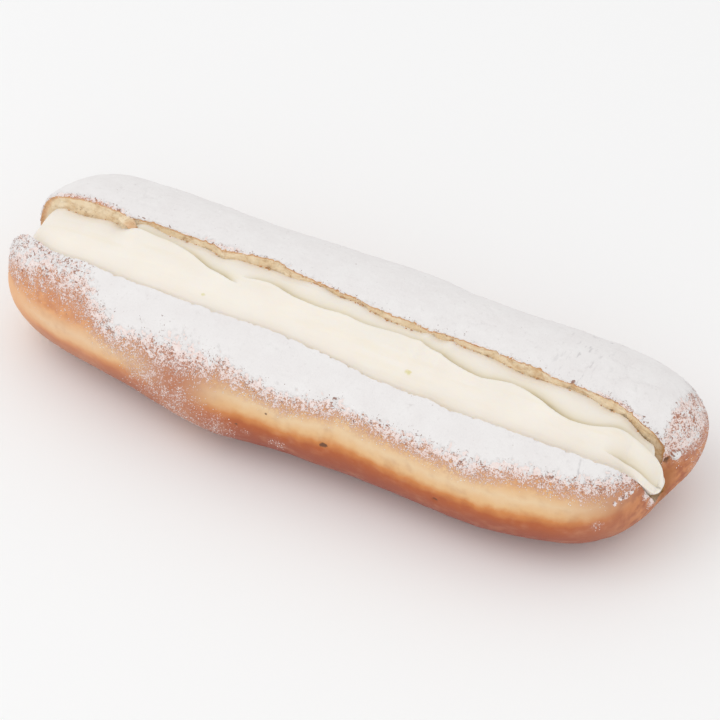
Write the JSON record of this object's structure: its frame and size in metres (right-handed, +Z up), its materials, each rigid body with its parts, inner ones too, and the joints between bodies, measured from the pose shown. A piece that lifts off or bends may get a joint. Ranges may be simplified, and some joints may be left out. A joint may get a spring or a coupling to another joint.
{
  "type": "cream finger doughnut",
  "caption": "Long finger doughnut slit open along its top, filled with piped whipped cream and dusted with icing sugar.",
  "frame": {"origin": "the middle of the flat base, under the centre of the doughnut's box", "axes": "+X along the doughnut, towards the end where its crust is broader; +Y across it, towards the taller half; +Z up, away from the base"},
  "size_m": [0.1726, 0.0582, 0.0364],
  "materials": {
    "fried_dough": "fried golden-brown crust with a pale band round the side, soft satin, heavily dusted with icing sugar above; cut crumb pale and matte",
    "whipped_cream": "smooth ivory whipped cream, soft satin",
    "icing_sugar": "dry matte white powder and fine grains"
  },
  "bodies": {
    "root": {"bun": "fried_dough", "cream": "whipped_cream"}
  },
  "joints": []
}
